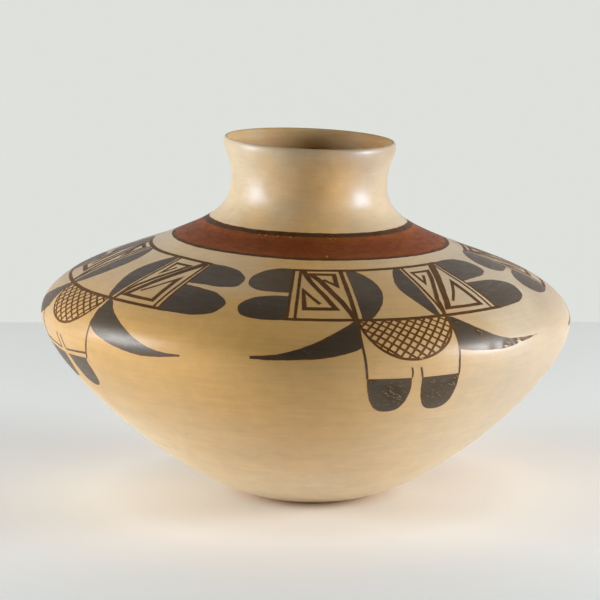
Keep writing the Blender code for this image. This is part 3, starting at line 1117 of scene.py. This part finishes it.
def hatch_lines(middle, half_width, depth, scale):
    """Return the half moon's hatching as lines of three points.

    The moon is made round by measuring degrees in half widths and mm in depths. A line at a
    distance from the centre then has its ends where the circle or the level top cuts it.
    """
    lines = []
    for slope, spacing, shift in HATCH:
        spacing = spacing * scale
        along = np.array([math.cos(slope) / BELLY_DEGREE, math.sin(slope)])
        across = np.array([-math.sin(slope) / BELLY_DEGREE, math.cos(slope)])
        along_round = along / (half_width, depth)
        across_round = across / (half_width, depth)
        count = int(half_width * BELLY_DEGREE / spacing) + 1
        for index in range(-count, count + 1):
            start = across_round * (spacing * index + shift)
            a = along_round @ along_round
            b = start @ along_round
            c = start @ start - 1
            if b * b - a * c <= 0:
                continue
            root = math.sqrt(b * b - a * c)
            low, high = (-b - root) / a, (-b + root) / a
            level = -start[1] / along_round[1]
            if along_round[1] > 0:
                high = min(high, level)
            else:
                low = max(low, level)
            if high - low >= spacing * SHORTEST_HATCH:
                lines.append([(start + along_round * run) * (half_width, depth) + (middle, BAND_FOOT)
                              for run in (low, (low + high) / 2, high)])
    return lines


class JAR_OT_horns(bpy.types.Operator):
    """Paint the two curved horns that hang from each figure"""

    bl_idname = "jar.horns"
    bl_label = "Horns"

    def execute(self, context):
        for figure, coats in painted(context, "horns", black_paint, seed=100):
            for horn in (figure.left_horn, figure.right_horn):
                coats.fill(*horn, placer(figure))
        return {"FINISHED"}


class JAR_OT_tails(bpy.types.Operator):
    """Paint each figure's two tail feathers and the stems above them"""

    bl_idname = "jar.tails"
    bl_label = "Tail feathers"

    def execute(self, context):
        for figure, coats in painted(context, "tail", black_paint, seed=120):
            place = placer(figure._replace(middle=figure.middle + figure.tail_shift))
            for feather in TAIL_FEATHERS:
                (outer, _), (inner, _) = feather[0], feather[-1]
                if figure.banded_tail:
                    outer += math.copysign(FEATHER_SPREAD * figure.stem_bulge, outer)
                    feather = ((outer, BANDED_FEATHER_TOP[0]), *feather[1:-1],
                               (inner, BANDED_FEATHER_TOP[1]))
                    ends = np.array(((outer * TAIL_BAND_SPAN, TAIL_BAND[0]), (inner, TAIL_BAND[1])))
                    coats.line((ends[0], ends.mean(axis=0), ends[1]), TAIL_BAND_WIDTH, place)
                coats.fill_round(feather, place)
            for points, shares, width in STEMS:
                bulge = math.copysign(figure.stem_bulge, points[0][0])
                stem = [(turn + share * bulge - (share > LEAST_FIXED) * figure.tail_shift, arc)
                        for (turn, arc), share in zip(points, shares)]
                if figure.banded_tail:
                    stem[-1] = (stem[-1][0], (TAIL_BAND[1], BANDED_FEATHER_TOP[0])[shares[0] > 0])
                coats.line(stem, width, place)
        return {"FINISHED"}


class Studio(bpy.types.PropertyGroup):
    """The camera and the lights."""

    camera_distance: bpy.props.FloatProperty(
        name="Camera distance", description="How far in front of the jar the camera stands",
        default=1.716, unit="LENGTH")
    camera_height: bpy.props.FloatProperty(
        name="Camera height", description="Height of the camera above the table",
        default=0.4058, unit="LENGTH")
    camera_side: bpy.props.FloatProperty(
        name="Camera side", description="How far right of the jar's axis the camera stands",
        default=-0.0003, unit="LENGTH")
    aim_height: bpy.props.FloatProperty(
        name="Aim height", description="Height of the point that the camera looks at",
        default=0.1028, unit="LENGTH")
    aim_side: bpy.props.FloatProperty(
        name="Aim side", description="How far right of the jar's axis the camera looks",
        default=-0.0031, unit="LENGTH")
    lens: bpy.props.FloatProperty(
        name="Lens", description="Focal length on a 36 mm sensor, in mm", default=197.47)
    left_power: bpy.props.FloatProperty(
        name="Left softbox", description="Power of the left softbox, in watts", default=9.8)
    right_power: bpy.props.FloatProperty(
        name="Right softbox", description="Power of the right softbox, in watts", default=12.0)
    softbox_reach: bpy.props.FloatProperty(
        name="Softbox distance", description="How far from the jar's axis each softbox stands",
        default=1.0, unit="LENGTH")
    softbox_turn: bpy.props.FloatProperty(
        name="Softbox turn", description="How far round from the viewer each softbox stands",
        default=math.radians(80.5), subtype="ANGLE")
    softbox_width: bpy.props.FloatProperty(
        name="Softbox width", description="Width of each softbox", default=0.38, unit="LENGTH")
    softbox_height: bpy.props.FloatProperty(
        name="Softbox height", description="Height of each softbox", default=0.46, unit="LENGTH")
    softbox_middle: bpy.props.FloatProperty(
        name="Softbox middle", description="Height of each softbox's middle above the table",
        default=0.27, unit="LENGTH")
    backdrop_light: bpy.props.FloatProperty(
        name="Backdrop light", description="Strength of the light that the backdrop gives",
        default=0.64)
    # Painted light on the table: brightness that the camera and reflections see, which lights nothing; it
    # grows towards the backdrop, a painted reflection of it
    table_painted_glow: bpy.props.FloatProperty(
        name="Table brightness", description="What the camera and reflections see the table add",
        default=0.21)
    table_painted_glow_far: bpy.props.FloatProperty(
        name="Far table brightness", description="The same, where the table nears the backdrop",
        default=0.345)
    # How far round the foot that painted brightness is darkened, a painted contact shadow
    painted_shade_reach: bpy.props.FloatProperty(
        name="Shade reach", description="How far round the foot the table's brightness is shaded",
        default=42 * MM, unit="LENGTH")
    wall_colour: bpy.props.StringProperty(
        name="Backdrop colour", description="Colour of the backdrop, sRGB hex", default="#DFE1DC")
    table_colour: bpy.props.StringProperty(
        name="Table colour", description="Colour of the table, sRGB hex", default="#E9EFF1")
    # Painted bounce light: the clay's colour put on the table where the foot meets it
    foot_painted_bounce: bpy.props.StringProperty(
        name="Foot glow", description="Clay's colour that the table takes on where the foot meets it, "
        "sRGB hex", default="#DDB08A")
    # Painted reflection: the table's colour close round the jar is warmed as if by the clay's light
    near_table_painted_reflection: bpy.props.StringProperty(
        name="Near table colour", description="Colour of the table close round the jar, sRGB hex",
        default="#EDE9E5")


# The table's corners, its far edge a little askew, and the depths over which its painted brightness
# grows towards the backdrop, a painted reflection of it
TABLE_CORNERS = ((-0.55, -0.6, 0), (0.55, -0.6, 0), (0.55, 0.4984, 0), (-0.55, 0.4916, 0))
PAINTED_GLOW_DEPTHS = (-0.2, 0.45)

# The tint of that painted brightness away from the jar and close round it, as linear colours;
# close round the jar it is warm, a painted reflection of the clay
FAR_PAINTED_GLOW = (1, 0.985, 0.93, 1)
NEAR_PAINTED_GLOW = (0.955, 0.93, 0.88, 1)

# Where the table is painted warmer, a painted reflection of the clay's light, in metres: a centre,
# the radius within which it is so in full, and the radius where that ends. Round the foot it takes
# on a share of the foot's colour as painted bounce light.
NEAR_JAR = ((0, 0, 0), 0.05, 0.30)
ROUND_FOOT = ((0.004, 0, 0), 0.034, 0.050)
PAINTED_BOUNCE_SHARE = 0.4

SENSOR_WIDTH = 36


class JAR_OT_stage(bpy.types.Operator):
    """Set out the table, the backdrop, the two softboxes and the camera"""

    bl_idname = "jar.stage"
    bl_label = "Studio"

    def execute(self, context):
        studio = context.scene.jar_studio
        self.table(studio)
        self.world(context, studio)
        self.softbox(context, studio, "left_softbox", -studio.softbox_turn, studio.left_power)
        self.softbox(context, studio, "right_softbox", studio.softbox_turn, studio.right_power)
        self.camera(context, studio)
        return {"FINISHED"}

    def table(self, studio):
        """Lay a matt white table that keeps the jar's shadow and is warmer close round the jar.

        Its added brightness is painted light that the camera and reflections see and that lights nothing.
        It grows towards the backdrop, a painted reflection of it, and it is shaded where the jar stands
        close over the table, a painted contact shadow. Close round the jar and round the foot the table
        is painted warmer, a painted reflection and bounce of the clay's light.
        """
        material, tree = new_material("matt_table_top")
        ray = add(tree, "LightPath")
        seen = add(tree, "Math", ray["Is Camera Ray"], ray["Is Glossy Ray"], operation="ADD")[0]
        seen = add(tree, "Math", seen, ray["Is Transmission Ray"], operation="MAXIMUM")[0]
        place = add(tree, "TexCoord")["Object"]
        depth = add(tree, "SeparateXYZ", place)["Y"]
        # Painted light: brightness that grows towards the backdrop as a painted reflection of it, seen only
        # by the camera and in reflections
        sheen = add(tree, "MapRange", depth, *PAINTED_GLOW_DEPTHS, studio.table_painted_glow,
                    studio.table_painted_glow_far)[0]
        # Painted shade: the brightness is darkened where the jar stands close over the table
        shade = add(tree, "AmbientOcclusion", {"Distance": studio.painted_shade_reach}, samples=8)["AO"]
        for share in (seen, shade):
            sheen = add(tree, "Math", sheen, share, operation="MULTIPLY")[0]

        # Painted reflection and bounce: the table's colour is warmer close round the jar and round the foot
        near = soft_ball(tree, place, *NEAR_JAR)
        painted_bounce_share = soft_ball(tree, place, *ROUND_FOOT)
        painted_bounce_share = add(tree, "Math", painted_bounce_share, PAINTED_BOUNCE_SHARE, operation="MULTIPLY")[0]
        colour = hex_linear(studio.table_colour)
        for share, mixed in ((near, studio.near_table_painted_reflection), (painted_bounce_share, studio.foot_painted_bounce)):
            colour = add(tree, "Mix", {0: share, 6: colour, 7: hex_linear(mixed)}, data_type="RGBA")[2]
        # The painted brightness is warmer close round the jar, a painted reflection of the clay
        glow = add(tree, "Mix", {0: near, 6: FAR_PAINTED_GLOW, 7: NEAR_PAINTED_GLOW}, data_type="RGBA")[2]
        shader = add(tree, "BsdfPrincipled", {
            "Base Color": colour, "Roughness": 0.8, "Specular IOR Level": 0.1,
            "Emission Color": glow, "Emission Strength": sheen})
        add(tree, "OutputMaterial", shader[0])
        mesh = bpy.data.meshes.new("table")
        mesh.from_pydata(TABLE_CORNERS, [], [(0, 1, 2, 3)])
        mesh.materials.append(material)
        table = bpy.data.objects.new("table", mesh)
        bpy.context.scene.collection.objects.link(table)

    def world(self, context, studio):
        """Put a pale backdrop behind the jar in a room that is dark in front.

        Its light falls off with the square of the cosine from straight behind, in reflections too,
        while the camera sees the backdrop's one colour.
        """
        world = bpy.data.worlds.new("pale_room")
        context.scene.world = world
        tree = empty_tree(world)
        heading = add(tree, "TexCoord")["Generated"]
        behind = add(tree, "VectorMath", heading, (0, 1, 0), operation="DOT_PRODUCT")["Value"]
        behind = add(tree, "Math", behind, 0, operation="MAXIMUM")[0]
        behind = add(tree, "Math", behind, 2, operation="POWER")[0]
        strength = add(tree, "Math", behind, studio.backdrop_light, operation="MULTIPLY")[0]
        room = add(tree, "Background", (1, 1, 1, 1), strength)[0]
        shown = add(tree, "Background", hex_linear(studio.wall_colour), 1.0)[0]
        ray = add(tree, "LightPath")
        seen = add(tree, "Math", ray["Is Camera Ray"], ray["Is Transmission Ray"], operation="MAXIMUM")[0]
        mix = add(tree, "MixShader", seen, room, shown)[0]
        add(tree, "OutputWorld", mix)

    def softbox(self, context, studio, name, turn, power):
        """Stand a softbox beside the jar, facing it on the level."""
        light = bpy.data.lights.new(name, "AREA")
        light.shape = "RECTANGLE"
        light.size = studio.softbox_width
        light.size_y = studio.softbox_height
        light.energy = power
        lamp = bpy.data.objects.new(name, light)
        context.scene.collection.objects.link(lamp)
        reach = studio.softbox_reach
        lamp.location = (reach * math.sin(turn), -reach * math.cos(turn), studio.softbox_middle)
        inwards = Vector((-lamp.location.x, -lamp.location.y, 0))
        lamp.rotation_euler = inwards.to_track_quat("-Z", "Y").to_euler()

    def camera(self, context, studio):
        """Place the camera at the photographed angle."""
        camera = bpy.data.cameras.new("camera")
        camera.sensor_width = SENSOR_WIDTH
        camera.lens = studio.lens
        view = bpy.data.objects.new("camera", camera)
        context.scene.collection.objects.link(view)
        view.location = (studio.camera_side, -studio.camera_distance, studio.camera_height)
        aim = Vector((studio.aim_side, 0, studio.aim_height))
        view.rotation_euler = (aim - view.location).to_track_quat("-Z", "Y").to_euler()
        context.scene.camera = view


class JAR_PT_panel(bpy.types.Panel):
    """The jar's sizes, colours and steps"""

    bl_idname = "JAR_PT_panel"
    bl_label = "Painted jar"
    bl_space_type = "VIEW_3D"
    bl_region_type = "UI"
    bl_category = "Jar"

    def draw(self, context):
        for group in (context.scene.jar_size, context.scene.jar_finish, context.scene.jar_studio):
            box = self.layout.box()
            for name in group.__annotations__:
                box.prop(group, name)
        for step in STEPS:
            self.layout.operator(step.bl_idname)


GROUPS = {"jar_size": JarSize, "jar_finish": Finish, "jar_studio": Studio}
STEPS = (JAR_OT_stage, JAR_OT_wall, JAR_OT_collar_band, JAR_OT_lobes, JAR_OT_leaves, JAR_OT_frets,
         JAR_OT_half_moons, JAR_OT_horns, JAR_OT_tails)


def register():
    """Register the classes and hang the settings on the scene."""
    for group in GROUPS.values():
        bpy.utils.register_class(group)
    for name, group in GROUPS.items():
        setattr(bpy.types.Scene, name, bpy.props.PointerProperty(type=group))
    for step in STEPS:
        bpy.utils.register_class(step)
    bpy.utils.register_class(JAR_PT_panel)


def unregister():
    """Undo what register did."""
    bpy.utils.unregister_class(JAR_PT_panel)
    for step in reversed(STEPS):
        bpy.utils.unregister_class(step)
    for name, group in GROUPS.items():
        delattr(bpy.types.Scene, name)
        bpy.utils.unregister_class(group)


def main():
    """Build the jar and its studio."""
    register()
    bpy.context.scene.view_settings.view_transform = "Standard"
    for step in STEPS:
        family, name = step.bl_idname.split(".")
        getattr(getattr(bpy.ops, family), name)()


if __name__ == "__main__":
    main()
